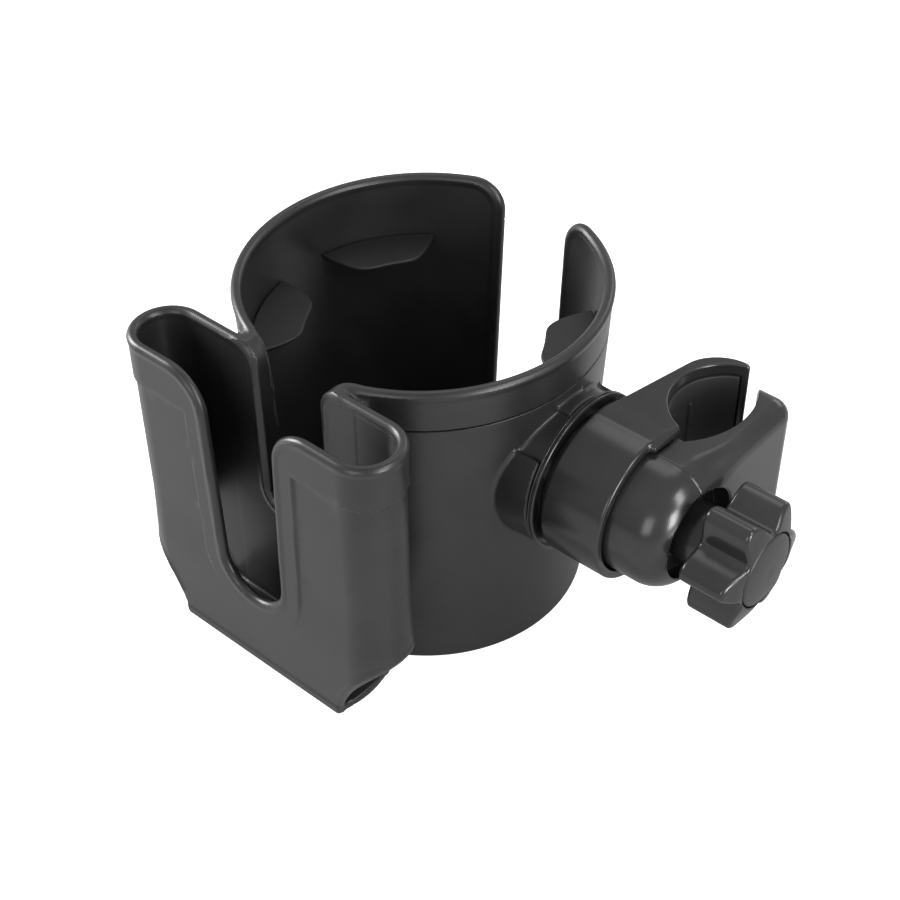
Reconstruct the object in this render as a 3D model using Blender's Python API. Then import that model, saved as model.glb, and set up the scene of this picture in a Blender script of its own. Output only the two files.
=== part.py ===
"""A cup holder with a flat phone pocket and a tube clamp on a swivel.

Frame: the cup's axis is Z and its underside is z = 0. The phone pocket is on the -Y side, the slot for a
mug handle on the +Y side, and the tube clamp on the +X side, on a swivel whose axis runs along X.
All lengths are in metres.
"""
import math

import bmesh
import bpy
from mathutils import Matrix, Vector

GAP = 0.0003                      # running clearance between separate pieces
OVERRUN = 0.010                   # how far a cutter runs past the face that it cuts
HALF_DEPTH = 0.030                # half the height of a cutter that cuts right through the clamp

# Cup
CUP_SEGMENTS = 72
CUP_BASE_RADIUS = 0.0435
CUP_TOP_RADIUS = 0.0478
RIM_HEIGHT = 0.0930               # centre of the rolled rim
RIM_BEAD = 0.0014                 # half the thickness of the rolled rim
CUP_WALL = 0.0023
CUP_FLOOR = 0.0026
BASE_CHAMFER = 0.0015
WALL_SINK = 0.0004                # what joins the cup from outside ends this far inside its wall

# Slot for a mug handle
HANDLE_HALF_WIDTH = 0.0105
HANDLE_BOTTOM = 0.0140
HANDLE_TOP_CORNER = 0.0085
HANDLE_BOTTOM_CORNER = 0.0050

# Phone pocket
POCKET_HALF_LENGTH = 0.0415
POCKET_FRONT = -0.0657
POCKET_BACK = -0.0471
POCKET_BOTTOM = 0.0065            # the pocket's underside hangs above the cup's
POCKET_WALL = 0.0019
POCKET_FLOOR = 0.0022
COLLAR_HEIGHT = 0.0126            # the thicker band below the pocket's rim
COLLAR_PROUD = 0.0006
PANEL_LOW = 0.0258                # the pocket's sides are as proud as the collar below this height,
PANEL_HIGH = 0.0470               # and set back above this one
CORNER_ARC_X = 0.0666             # the open corners are cut along an arc of this centre and radius
CORNER_ARC_Z = -0.0033
CORNER_ARC_RADIUS = 0.0402
CORNER_TOP = 0.0320
WEB_HALF_WIDTH = 0.0205           # the solid web that joins the pocket's back to the cup
WEB_TOP = 0.0929
WEB_END = -0.0350                 # y where the web's blank ends, inside the cup
FRONT_SLOT_HALF_WIDTH = 0.0115
FRONT_SLOT_LOW_HALF_WIDTH = 0.0098
FRONT_SLOT_BOTTOM = 0.0300
FRONT_SLOT_CORNER = 0.0110
BACK_SLOT_HALF_WIDTH = 0.0109
BACK_SLOT_BOTTOM = 0.0440
BACK_SLOT_CORNER = 0.0060

# Swivel: everything here lies on the axis y = 0, z = AXIS_Z
AXIS_Z = 0.0585
BOSS_RADIUS = 0.0213
BOSS_FACE = 0.0510                # x of the boss's outer face
BOSS_HUB_RADIUS = 0.0090
BOSS_WALL = 0.0022
BOSS_POCKET_FLOOR = 0.0478        # x of the floor of the ring-shaped pocket in the boss
SCREW_SEAT = 0.0470               # x of the floor of the screw's counterbore, inside the cup
SEAT_BORE_RADIUS = 0.0070
PIVOT_BORE_RADIUS = 0.0029
PIVOT_SCREW_RADIUS = 0.0025
PIVOT_SCREW_END = 0.0582
PIVOT_HEAD_RADIUS = 0.0056
PIVOT_HEAD_HEIGHT = 0.0014
PIVOT_WASHER_RADIUS = 0.0062
PIVOT_WASHER_THICKNESS = 0.0007
PIVOT_NUT_FLATS = 0.0078
PIVOT_NUT_START = 0.0548
PIVOT_NUT_END = 0.0578
PIVOT_NUT_SEAT = 0.0535           # x of the seat's floor, under the spring washer
SPRING_WASHER_RADIUS = 0.0042
SPRING_WASHER_START = 0.0538
SPRING_WASHER_END = 0.0545
FRICTION_RING_RADIUS = 0.0178
BEZEL_RADIUS = 0.0218
BEZEL_FRONT = 0.0530
NECK_RADIUS = 0.0165
SHELL_START = 0.0545

# Clamp: fixed jaw
SHELL_RADIUS = 0.0203
SHELL_END = 0.0716
SHELL_BORE_RADIUS = 0.0180
SHELL_FLOOR = 0.0575
BORE_SIDE = 0.0086                # y of the flat side of the bore
HOOK_HALF_HEIGHT = 0.0200
TUBE_Y = 0.0242                   # y of the clamped tube's axis
FIXED_ARC_X = 0.0782
FIXED_ARC_RADIUS = 0.0157
POST_HALF_WIDTH = 0.0060
POST_HALF_HEIGHT = 0.0076
POST_END = 0.0730
POST_BORE_RADIUS = 0.0050
RELIEF_HALF_HEIGHT = 0.0177
RELIEF_START = 0.0685
FIXED_PAD_FIRST = 127.0           # the pad's seat on the gripping arc, in degrees
FIXED_PAD_LAST = 225.0

# Clamp: moving jaw
BARREL_RADIUS = 0.0176
BARREL_START = 0.0613
BARREL_BORE_RADIUS = 0.0156
BARREL_SIDE = 0.0082
BARREL_NOSE = 0.0085              # rounding of the barrel's front edge
JAW_FRONT = 0.0876
JAW_END = 0.0394                  # y of the moving jaw's tip
JAW_EDGE = 0.0042                 # rounding of the moving jaw's front edges
MOVING_ARC_X = 0.0582
MOVING_ARC_RADIUS = 0.0233
MOVING_HALF_HEIGHT = 0.0173
MOVING_PAD_FIRST = -27.0          # the pad's seat on the gripping arc, in degrees
MOVING_PAD_LAST = 26.0
BARREL_WALL = 0.0019              # thickness of the barrel's flat side
FACE_STEP = 0.00015               # the barrel's front face lies this far behind the hook's
HOOK_BACK = 0.0733
WEB_INNER = 0.0795
KNOB_RECESS_FLOOR = 0.0825
KNOB_RECESS_RADIUS = 0.0123

# Rubber pads in the jaws
FIXED_PAD_HALF_HEIGHT = 0.0168
MOVING_PAD_HALF_HEIGHT = 0.0143
PAD_SEAT_DEPTH = 0.0019
PAD_PROUD = 0.0006
PAD_CUT_OPEN = 0.0030             # how far the seat's cutter runs past the gripping arc

# Clamp screw, nut and knob
SCREW_RADIUS = 0.00285
SCREW_TIP = 0.0636
NUT_FLATS = 0.0097
NUT_START = 0.0678
NUT_LENGTH = 0.0048
CLIP_X = 0.0782
CLIP_THICKNESS = 0.0010
CLIP_RADIUS = 0.0052
SCREW_HEAD_FLATS = 0.0097
SCREW_HEAD_START = 0.0985
SCREW_HEAD_HEIGHT = 0.0036
THRUST_WASHER_RADIUS = 0.0075
KNOB_REAR = 0.0917
KNOB_FRONT = 0.1044
KNOB_FACE = 0.1057                # x of the raised disc round the cap
KNOB_FACE_RADIUS = 0.0112
KNOB_LOBES = 6
KNOB_MEAN_RADIUS = 0.0137
KNOB_LOBE_HEIGHT = 0.0029
KNOB_PHASE = math.radians(52)
HUB_RADIUS = 0.0080
HUB_START = 0.0841
CAP_RADIUS = 0.0097
CAP_REAR = 0.1042

# Grip fins
FIN_ANGLES = (31, 149, 211, 329)  # degrees about the cup's axis, from +X
FIN_HALF_ANGLE = math.radians(21)
FIN_HEIGHT = 0.0758               # height of the fins' root
FIN_REACH = 0.0122
FIN_EDGE = 0.0006                 # width of the fin where its outline meets the wall
FIN_FULLNESS = 4.7                # exponents of the fin's outline: how square it is,
FIN_ROUNDNESS = 0.76              # and how round its corners are
FIN_THICKNESS = 0.0014
FIN_ROOT_GAP = 0.0009


def clear_scene():
    for obj in list(bpy.data.objects):
        bpy.data.objects.remove(obj, do_unlink=True)


def make_material(name, colour, roughness, metallic=0.0):
    material = bpy.data.materials.new(name)
    material.use_nodes = True
    shader = material.node_tree.nodes["Principled BSDF"]
    shader.inputs["Base Color"].default_value = (*colour, 1.0)
    shader.inputs["Roughness"].default_value = roughness
    shader.inputs["Metallic"].default_value = metallic
    return material


def add_object(name, mesh_builder, material=None):
    """Links a new object whose mesh is the given bmesh, smooth on its round faces."""
    bmesh.ops.recalc_face_normals(mesh_builder, faces=mesh_builder.faces)
    mesh = bpy.data.meshes.new(name)
    mesh_builder.to_mesh(mesh)
    mesh_builder.free()
    mesh.shade_smooth()
    mesh.set_sharp_from_angle(angle=math.radians(35))
    obj = bpy.data.objects.new(name, mesh)
    bpy.context.scene.collection.objects.link(obj)
    if material:
        obj.data.materials.append(material)
    return obj


def as_cutter(obj):
    obj.hide_render = True
    obj.display_type = "WIRE"
    return obj


def combine(target, other, operation):
    """Adds a Boolean modifier; the other object stays in the file as a hidden guide."""
    as_cutter(other)
    modifier = target.modifiers.new(other.name, "BOOLEAN")
    modifier.operation = operation
    modifier.object = other
    modifier.solver = "EXACT"


def cut(target, other):
    combine(target, other, "DIFFERENCE")


def join(target, other):
    combine(target, other, "UNION")


def loft(name, rings, material=None):
    """A closed solid through a list of rings, each a list of the same number of points."""
    builder = bmesh.new()
    loops = [[builder.verts.new(point) for point in ring] for ring in rings]
    for lower, upper in zip(loops, loops[1:]):
        count = len(lower)
        for i in range(count):
            j = (i + 1) % count
            builder.faces.new((lower[i], lower[j], upper[j], upper[i]))
    builder.faces.new(list(reversed(loops[0])))
    builder.faces.new(loops[-1])
    return add_object(name, builder, material)


def prism(name, outline, low, high, axis="Z", material=None):
    """Extrudes a flat outline from low to high along an axis.

    Outlines are (x, y) points for Z, (x, z) points for Y and (y, z) points for X.
    """
    place = {
        "Z": lambda a, b, c: (a, b, c),
        "Y": lambda a, b, c: (a, c, b),
        "X": lambda a, b, c: (c, a, b),
    }[axis]
    rings = [[place(a, b, level) for a, b in outline] for level in (low, high)]
    return loft(name, rings, material)


def turned(name, profile, segments, material=None, axis_x=False, z=0.0):
    """Turns a (radius, height) profile about Z, or about the swivel axis when axis_x is set.

    A profile that starts and ends on the axis makes a solid; any other profile is closed into a ring.
    """
    builder = bmesh.new()

    def place(radius, height, angle):
        if axis_x:
            return builder.verts.new((height, radius * math.cos(angle), z + radius * math.sin(angle)))
        return builder.verts.new((radius * math.cos(angle), radius * math.sin(angle), z + height))

    solid = profile[0][0] == 0 and profile[-1][0] == 0
    walls = profile[1:-1] if solid else profile
    columns = [[place(radius, height, 2 * math.pi * (i + 0.5) / segments) for radius, height in walls]
               for i in range(segments)]
    count = len(walls)
    for i in range(segments):
        here = columns[i]
        there = columns[(i + 1) % segments]
        for k in range(count - 1 if solid else count):
            m = (k + 1) % count
            builder.faces.new((here[k], here[m], there[m], there[k]))
    if solid:
        for (_, height), k in ((profile[0], 0), (profile[-1], count - 1)):
            ring = [column[k] for column in columns]
            if abs(height - walls[k][1]) < 1e-9:
                builder.faces.new(ring)
                continue
            peak = place(0, height, 0)
            for i in range(segments):
                builder.faces.new((ring[i], ring[(i + 1) % segments], peak))
    return add_object(name, builder, material)


def disc_x(name, radius, start, end, segments=48, material=None):
    """A plain cylinder on the swivel axis."""
    outline = circle_points(radius, segments, math.pi / segments)
    return prism(name, [(y, AXIS_Z + z) for y, z in outline], start, end, "X", material)


def ring_x(name, inner, outer, start, end, segments=48, material=None):
    profile = [(inner, start), (outer, start), (outer, end), (inner, end)]
    return turned(name, profile, segments, material, axis_x=True, z=AXIS_Z)


def circle_points(radius, segments, start=0.0):
    step = 2 * math.pi / segments
    angles = [start + i * step for i in range(segments)]
    return [(radius * math.cos(angle), radius * math.sin(angle)) for angle in angles]


def through_z(name, outline):
    """A cutter that runs up and down through the whole clamp."""
    return prism(name, outline, AXIS_Z - HALF_DEPTH, AXIS_Z + HALF_DEPTH, "Z")


def arc_points(cx, cy, radius, first, last, steps):
    """Points on an arc, from the first to the last angle in degrees, both included."""
    points = []
    for i in range(steps + 1):
        angle = math.radians(first + (last - first) * i / steps)
        points.append((cx + radius * math.cos(angle), cy + radius * math.sin(angle)))
    return points


def hex_prism(name, flats, start, end, turn_deg=0.0, material=None):
    """A hexagonal prism on the swivel axis, by its width across the flats."""
    outline = circle_points(flats / math.sqrt(3), 6, math.radians(turn_deg))
    return prism(name, [(y, AXIS_Z + z) for y, z in outline], start, end, "X", material)


def cup_outer_radius(z):
    return CUP_BASE_RADIUS + (CUP_TOP_RADIUS - CUP_BASE_RADIUS) * z / RIM_HEIGHT


def cup_inner_radius(z):
    return cup_outer_radius(z) - CUP_WALL


# ---------------------------------------------------------------- cup and phone pocket

def stadium(half_length, back, front, steps=10):
    """A flat ring with round ends: the plan of the phone pocket at one height."""
    radius = (back - front) / 2
    centre = (back + front) / 2
    straight = half_length - radius
    points = arc_points(straight, centre, radius, -90, 90, steps)
    points += arc_points(-straight, centre, radius, 90, 270, steps)
    return points


def pocket_section(z, grow=0.0):
    """The pocket's plan at height z, grown on all sides."""
    plan = stadium(POCKET_HALF_LENGTH + grow, POCKET_BACK + grow, POCKET_FRONT - grow)
    return [(x, y, z) for x, y in plan]


def slot_outline(half_top, half_low, bottom, top, corner, low_corner):
    """A slot that opens upwards, with round bottom corners and flared top corners, as (x, z) points."""
    start = top - corner
    right = arc_points(half_top + corner, start, corner, 180, 90, 6)
    low = arc_points(half_low - low_corner, bottom + low_corner, low_corner, 0, -90, 6)
    above = top + 0.004
    half = [(half_top + corner, above)] + list(reversed(right)) + low
    return [(x, z) for x, z in half] + [(-x, z) for x, z in reversed(half)]


def make_cup_and_pocket(material):
    top = RIM_HEIGHT + RIM_BEAD
    rim_radius = CUP_TOP_RADIUS - RIM_BEAD
    outer = [(0, 0), (CUP_BASE_RADIUS - BASE_CHAMFER, 0), (cup_outer_radius(BASE_CHAMFER), BASE_CHAMFER)]
    bead = arc_points(rim_radius, RIM_HEIGHT, RIM_BEAD, 0, 180, 6)
    inner = [(cup_inner_radius(CUP_FLOOR + BASE_CHAMFER), CUP_FLOOR + BASE_CHAMFER),
             (cup_inner_radius(CUP_FLOOR) - BASE_CHAMFER, CUP_FLOOR), (0, CUP_FLOOR)]
    cup = turned("cup_and_pocket", outer + bead + inner, CUP_SEGMENTS, material)

    # Round boss that carries the clamp, a hollow ring with a solid hub in its middle
    boss_start = cup_inner_radius(AXIS_Z) - CUP_WALL
    boss = disc_x("guide_boss", BOSS_RADIUS, boss_start, BOSS_FACE)
    space_floor = CUP_FLOOR + 0.001
    space_top = top + OVERRUN
    space = [(0, space_floor), (cup_inner_radius(0) + WALL_SINK, space_floor),
             (cup_inner_radius(RIM_HEIGHT) + WALL_SINK, space_top), (0, space_top)]
    cup_inside = turned("guide_cup_inside", space, CUP_SEGMENTS)
    cut(boss, cup_inside)
    join(cup, boss)
    cut(cup, ring_x("guide_boss_pocket", BOSS_HUB_RADIUS, BOSS_RADIUS - BOSS_WALL, BOSS_POCKET_FLOOR,
                    BOSS_FACE + OVERRUN))

    # Phone pocket: outside, with the thicker band below its rim
    band = top - COLLAR_HEIGHT
    step = 0.0005
    rings = [pocket_section(POCKET_BOTTOM, COLLAR_PROUD), pocket_section(PANEL_LOW, COLLAR_PROUD),
             pocket_section(PANEL_HIGH), pocket_section(band), pocket_section(band + step, COLLAR_PROUD),
             pocket_section(top - RIM_BEAD / 2, COLLAR_PROUD), pocket_section(top)]
    outside = loft("guide_pocket_outside", rings)
    web_start = POCKET_BACK - 0.001
    web_plan = [(-WEB_HALF_WIDTH, web_start), (WEB_HALF_WIDTH, web_start),
                (WEB_HALF_WIDTH, WEB_END), (-WEB_HALF_WIDTH, WEB_END)]
    join(outside, prism("guide_pocket_web", web_plan, POCKET_BOTTOM + 0.0001, WEB_TOP, "Z"))
    for side in (-1, 1):
        edge = arc_points(CORNER_ARC_X, CORNER_ARC_Z, CORNER_ARC_RADIUS, 174, 120, 9)
        wedge = [(side * x, z) for x, z in edge]
        wedge += [(side * CORNER_ARC_X, CORNER_TOP), (side * CORNER_ARC_X, 0.0)]
        cut(outside, prism("guide_corner_cut", wedge, POCKET_FRONT - OVERRUN, 0.0, "Y"))
    cut(outside, cup_inside)
    join(cup, outside)

    # Inside of the pocket
    inside = loft("guide_pocket_inside", [pocket_section(POCKET_BOTTOM + POCKET_FLOOR, -POCKET_WALL),
                                          pocket_section(space_top, -POCKET_WALL)])
    cut(cup, inside)

    # Slots: mug handle, front of the pocket, and wall between pocket and cup
    handle = slot_outline(HANDLE_HALF_WIDTH, HANDLE_HALF_WIDTH, HANDLE_BOTTOM, top, HANDLE_TOP_CORNER,
                          HANDLE_BOTTOM_CORNER)
    cut(cup, prism("guide_handle_slot", handle, 0.025, 0.060, "Y"))
    front = slot_outline(FRONT_SLOT_HALF_WIDTH, FRONT_SLOT_LOW_HALF_WIDTH, FRONT_SLOT_BOTTOM, top,
                         FRONT_SLOT_CORNER, FRONT_SLOT_LOW_HALF_WIDTH - 0.0001)
    cut(cup, prism("guide_front_slot", front, -0.080, -0.0555, "Y"))
    back = slot_outline(BACK_SLOT_HALF_WIDTH, BACK_SLOT_HALF_WIDTH, BACK_SLOT_BOTTOM, top, BACK_SLOT_CORNER,
                        BACK_SLOT_CORNER)
    cut(cup, prism("guide_back_slot", back, -0.0545, -0.025, "Y"))

    # Screw hole through wall and boss, with its counterbore on the cup's side
    stepped = [(0, 0.030), (SEAT_BORE_RADIUS, 0.030), (SEAT_BORE_RADIUS, SCREW_SEAT),
               (PIVOT_BORE_RADIUS, SCREW_SEAT), (PIVOT_BORE_RADIUS, 0.060), (0, 0.060)]
    cut(cup, turned("guide_pivot_bore", stepped, 36, axis_x=True, z=AXIS_Z))
    return cup


# ---------------------------------------------------------------- grip fins

def make_fin(number, angle_deg, material):
    """One soft leaf on the cup's inner wall. Its hinge line is the chord between its root's two ends."""
    root_radius = cup_inner_radius(FIN_HEIGHT) - FIN_ROOT_GAP
    steps = 20
    root = []
    edge = []
    for i in range(steps + 1):
        share = -1 + 2 * i / steps
        angle = share * FIN_HALF_ANGLE
        root.append((root_radius * math.cos(angle), root_radius * math.sin(angle)))
        depth = FIN_REACH * (1 - abs(share) ** FIN_FULLNESS) ** FIN_ROUNDNESS + FIN_EDGE
        edge.append(((root_radius - depth) * math.cos(angle), (root_radius - depth) * math.sin(angle)))
    hinge_x = root_radius * math.cos(FIN_HALF_ANGLE)
    turn = Matrix.Rotation(math.radians(angle_deg), 4, "Z")
    half = FIN_THICKNESS / 2

    builder = bmesh.new()
    levels = []
    for sign in (-1, 1):
        upper = [builder.verts.new((x - hinge_x, y, sign * half)) for x, y in root]
        lower = [builder.verts.new((x - hinge_x, y, sign * half * 0.7)) for x, y in edge]
        levels.append((upper, lower))
    (root_low, edge_low), (root_high, edge_high) = levels
    for i in range(steps):
        builder.faces.new((root_high[i], root_high[i + 1], edge_high[i + 1], edge_high[i]))
        builder.faces.new((root_low[i + 1], root_low[i], edge_low[i], edge_low[i + 1]))
        builder.faces.new((root_low[i], root_low[i + 1], root_high[i + 1], root_high[i]))
        builder.faces.new((edge_low[i + 1], edge_low[i], edge_high[i], edge_high[i + 1]))
    builder.faces.new((root_low[0], root_high[0], edge_high[0], edge_low[0]))
    builder.faces.new((root_high[-1], root_low[-1], edge_low[-1], edge_high[-1]))
    fin = add_object("grip_fin_%d" % number, builder, material)
    fin.matrix_world = turn @ Matrix.Translation(Vector((hinge_x, 0, FIN_HEIGHT)))
    return fin


# ---------------------------------------------------------------- swivel

def make_swivel(metal, plastic, soft):
    ring_x("swivel_friction_ring", BOSS_HUB_RADIUS + GAP, FRICTION_RING_RADIUS, BOSS_POCKET_FLOOR + GAP,
           BOSS_FACE + GAP, material=soft)
    edge = 0.0006
    bezel = [(NECK_RADIUS + GAP, BOSS_FACE + 2 * GAP), (FRICTION_RING_RADIUS + GAP, BOSS_FACE + 2 * GAP),
             (FRICTION_RING_RADIUS + GAP, BOSS_FACE + GAP), (BEZEL_RADIUS, BOSS_FACE + GAP),
             (BEZEL_RADIUS, BEZEL_FRONT - edge), (BEZEL_RADIUS - edge, BEZEL_FRONT),
             (NECK_RADIUS + GAP, BEZEL_FRONT)]
    turned("swivel_bezel", bezel, 60, plastic, axis_x=True, z=AXIS_Z)

    washer_start = SCREW_SEAT - GAP - PIVOT_WASHER_THICKNESS
    ring_x("pivot_washer", PIVOT_SCREW_RADIUS + GAP, PIVOT_WASHER_RADIUS, washer_start, SCREW_SEAT - GAP, 32,
           metal)
    head_front = washer_start - GAP
    head_top = head_front - PIVOT_HEAD_HEIGHT
    head = [(0, head_top), (0.0040, head_top), (PIVOT_HEAD_RADIUS, head_front - 0.0008),
            (PIVOT_HEAD_RADIUS, head_front), (PIVOT_SCREW_RADIUS, head_front),
            (PIVOT_SCREW_RADIUS, PIVOT_SCREW_END), (0, PIVOT_SCREW_END)]
    screw = turned("pivot_screw", head, 32, metal, axis_x=True, z=AXIS_Z)
    cut(screw, hex_prism("guide_pivot_socket", 0.003, head_front - 0.0030, head_front - 0.0004))
    cover_back = head_top - GAP
    cover_radius = SEAT_BORE_RADIUS - GAP
    cover = [(0, cover_back - 0.0012), (0.0052, cover_back - 0.0009), (cover_radius, cover_back - 0.0004),
             (cover_radius, cover_back), (0, cover_back)]
    turned("pivot_screw_cover", cover, 36, plastic, axis_x=True, z=AXIS_Z)

    ring_x("pivot_spring_washer", PIVOT_SCREW_RADIUS + GAP, SPRING_WASHER_RADIUS, SPRING_WASHER_START,
           SPRING_WASHER_END, 32, metal)
    nut = hex_prism("pivot_nut", PIVOT_NUT_FLATS, PIVOT_NUT_START, PIVOT_NUT_END, 30, metal)
    cut(nut, disc_x("guide_pivot_nut_bore", PIVOT_SCREW_RADIUS + GAP, 0.050, 0.060, 24))


# ---------------------------------------------------------------- fixed jaw

def fixed_arc(radius, first, last, steps=14):
    """Points on the fixed jaw's gripping arc, by angle from +X about the arc's centre."""
    return arc_points(FIXED_ARC_X, TUBE_Y, radius, first, last, steps)


def moving_arc(radius, first, last, steps=14):
    return arc_points(MOVING_ARC_X, TUBE_Y, radius, first, last, steps)


def make_fixed_jaw(material):
    shell = [(0, BOSS_FACE + 2 * GAP), (NECK_RADIUS, BOSS_FACE + 2 * GAP), (NECK_RADIUS, SHELL_START),
             (SHELL_RADIUS - 0.0010, SHELL_START), (SHELL_RADIUS, SHELL_START + 0.0010),
             (SHELL_RADIUS, SHELL_END), (0, SHELL_END)]
    jaw = turned("fixed_jaw", shell, 60, material, axis_x=True, z=AXIS_Z)

    # Hook: plan outline of the spine, the tip and the gripping arc
    outline = [(SHELL_START + 0.0002, -0.0010), (SHELL_START + 0.0005, 0.0040)]
    outline += arc_points(0.0697, 0.0310, 0.0095, 174, 92, 7)
    outline += [(0.0724, 0.0404), (0.0731, 0.0397), (0.0731, 0.0040), (0.0700, -0.0010)]
    hook = prism("guide_fixed_hook", outline, AXIS_Z - HOOK_HALF_HEIGHT, AXIS_Z + HOOK_HALF_HEIGHT, "Z")
    join(jaw, hook)

    # Clear the shell where the tube passes
    opening = fixed_arc(FIXED_ARC_RADIUS, 108, 252) + [(0.0900, 0.0093), (0.0900, 0.0391)]
    cut(jaw, through_z("guide_tube_space", opening))

    # Bore that the moving jaw slides in, with a flat side, and a relief for its shoulder
    bore = disc_x("guide_bore", SHELL_BORE_RADIUS, SHELL_FLOOR, SHELL_END + 0.01, 60)
    bore_side = [(0.050, BORE_SIDE), (0.090, BORE_SIDE), (0.090, 0.040), (0.050, 0.040)]
    cut(bore, through_z("guide_bore_side", bore_side))
    post_plan = rounded_rectangle(POST_HALF_WIDTH, POST_HALF_HEIGHT, 0.0015)
    post = prism("guide_nut_post", post_plan, SHELL_FLOOR - 0.001, POST_END, "X")
    relief_plan = [(RELIEF_START, 0.0), (0.0800, 0.0), (0.0800, 0.0100), (RELIEF_START, 0.0100)]
    relief = prism("guide_relief", relief_plan, AXIS_Z - RELIEF_HALF_HEIGHT, AXIS_Z + RELIEF_HALF_HEIGHT, "Z")
    join(bore, relief)
    cut(jaw, bore)
    join(jaw, post)

    # Screw bores and nut seats inside the post
    cut(jaw, disc_x("guide_post_bore", POST_BORE_RADIUS, 0.0581, 0.0900, 36))
    cut(jaw, hex_prism("guide_nut_seat", NUT_FLATS + 2 * GAP, NUT_START - GAP, 0.0900, 30))
    cut(jaw, hex_prism("guide_pivot_nut_seat", PIVOT_NUT_FLATS + 2 * GAP, PIVOT_NUT_SEAT, 0.0585, 30))
    cut(jaw, disc_x("guide_jaw_pivot_bore", PIVOT_BORE_RADIUS, 0.050, 0.060, 24))

    # Seat for the rubber pad
    seat_outline = fixed_arc(FIXED_ARC_RADIUS + PAD_SEAT_DEPTH, FIXED_PAD_FIRST, FIXED_PAD_LAST)
    seat_outline += fixed_arc(FIXED_ARC_RADIUS - PAD_CUT_OPEN, FIXED_PAD_LAST, FIXED_PAD_FIRST)
    cut(jaw, prism("guide_fixed_pad_seat", seat_outline, AXIS_Z - FIXED_PAD_HALF_HEIGHT,
                   AXIS_Z + FIXED_PAD_HALF_HEIGHT, "Z"))
    return jaw


def rounded_rectangle(half_y, half_z, corner):
    """A rounded rectangle round the swivel axis, as (y, z) points."""
    points = []
    for sy, sz, first in ((1, 1, 0), (-1, 1, 90), (-1, -1, 180), (1, -1, 270)):
        centre_y = sy * (half_y - corner)
        centre_z = AXIS_Z + sz * (half_z - corner)
        points += arc_points(centre_y, centre_z, corner, first, first + 90, 3)
    return points


def make_pads(material):
    outline = fixed_arc(FIXED_ARC_RADIUS + PAD_SEAT_DEPTH - GAP, 128.5, 223.5)
    outline += fixed_arc(FIXED_ARC_RADIUS - PAD_PROUD, 223.5, 128.5)
    half = FIXED_PAD_HALF_HEIGHT - GAP
    prism("fixed_jaw_pad", outline, AXIS_Z - half, AXIS_Z + half, "Z", material)
    outline = moving_arc(MOVING_ARC_RADIUS + PAD_SEAT_DEPTH - GAP, -26.2, 25.2)
    outline += moving_arc(MOVING_ARC_RADIUS - PAD_PROUD, 25.2, -26.2)
    half = MOVING_PAD_HALF_HEIGHT - GAP
    prism("moving_jaw_pad", outline, AXIS_Z - half, AXIS_Z + half, "Z", material)


# ---------------------------------------------------------------- moving jaw

def make_moving_jaw(material):
    barrel_front = JAW_FRONT - FACE_STEP
    nose = arc_points(barrel_front - BARREL_NOSE, BARREL_RADIUS - BARREL_NOSE, BARREL_NOSE, 90, 0, 6)
    profile = [(0, BARREL_START), (BARREL_RADIUS, BARREL_START)]
    profile += [(radius, x) for x, radius in nose] + [(0, barrel_front)]
    jaw = turned("moving_jaw", profile, 60, material, axis_x=True, z=AXIS_Z)

    # Hook: plan outline, rounded along its front edges by a second outline seen from the side
    plan = [(HOOK_BACK, -0.0010), (JAW_FRONT, -0.0010)]
    plan += arc_points(JAW_FRONT - JAW_EDGE, JAW_END - JAW_EDGE, JAW_EDGE, 0, 90, 5)
    plan += [(HOOK_BACK, JAW_END)]
    hook = prism("guide_moving_hook", plan, AXIS_Z - MOVING_HALF_HEIGHT, AXIS_Z + MOVING_HALF_HEIGHT, "Z")
    low = AXIS_Z - MOVING_HALF_HEIGHT
    high = AXIS_Z + MOVING_HALF_HEIGHT
    side = [(0.0600, low - 0.001), (JAW_FRONT - JAW_EDGE, low - 0.001)]
    side += arc_points(JAW_FRONT - JAW_EDGE, low + JAW_EDGE, JAW_EDGE, -90, 0, 4)
    side += arc_points(JAW_FRONT - JAW_EDGE, high - JAW_EDGE, JAW_EDGE, 0, 90, 4)
    side += [(JAW_FRONT - JAW_EDGE, high + 0.001), (0.0600, high + 0.001)]
    combine(hook, prism("guide_moving_side", side, -0.01, 0.05, "Y"), "INTERSECT")
    join(jaw, hook)

    # Clear the barrel where the tube passes
    space = moving_arc(MOVING_ARC_RADIUS, 44, -45.4)
    space += [(0.0730, BARREL_SIDE), (0.0500, BARREL_SIDE), (0.0500, 0.0410), (0.0700, 0.0410)]
    cut(jaw, through_z("guide_moving_space", space))

    # Hollow barrel, round recess for the knob's hub, screw hole
    hollow = disc_x("guide_barrel_hollow", BARREL_BORE_RADIUS, 0.050, WEB_INNER, 60)
    inner_side = BARREL_SIDE - BARREL_WALL
    hollow_side = [(0.040, inner_side), (0.090, inner_side), (0.090, 0.040), (0.040, 0.040)]
    cut(hollow, through_z("guide_hollow_side", hollow_side))
    cut(jaw, hollow)
    cut(jaw, disc_x("guide_knob_recess", KNOB_RECESS_RADIUS, KNOB_RECESS_FLOOR, 0.100, 48))
    cut(jaw, disc_x("guide_screw_hole", SCREW_RADIUS + GAP, 0.070, 0.090, 24))

    seat = moving_arc(MOVING_ARC_RADIUS + PAD_SEAT_DEPTH, MOVING_PAD_FIRST, MOVING_PAD_LAST)
    seat += moving_arc(MOVING_ARC_RADIUS - PAD_CUT_OPEN, MOVING_PAD_LAST, MOVING_PAD_FIRST)
    cut(jaw, prism("guide_moving_pad_seat", seat, AXIS_Z - MOVING_PAD_HALF_HEIGHT,
                   AXIS_Z + MOVING_PAD_HALF_HEIGHT, "Z"))
    return jaw


# ---------------------------------------------------------------- screw, nut, clip and knob

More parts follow.
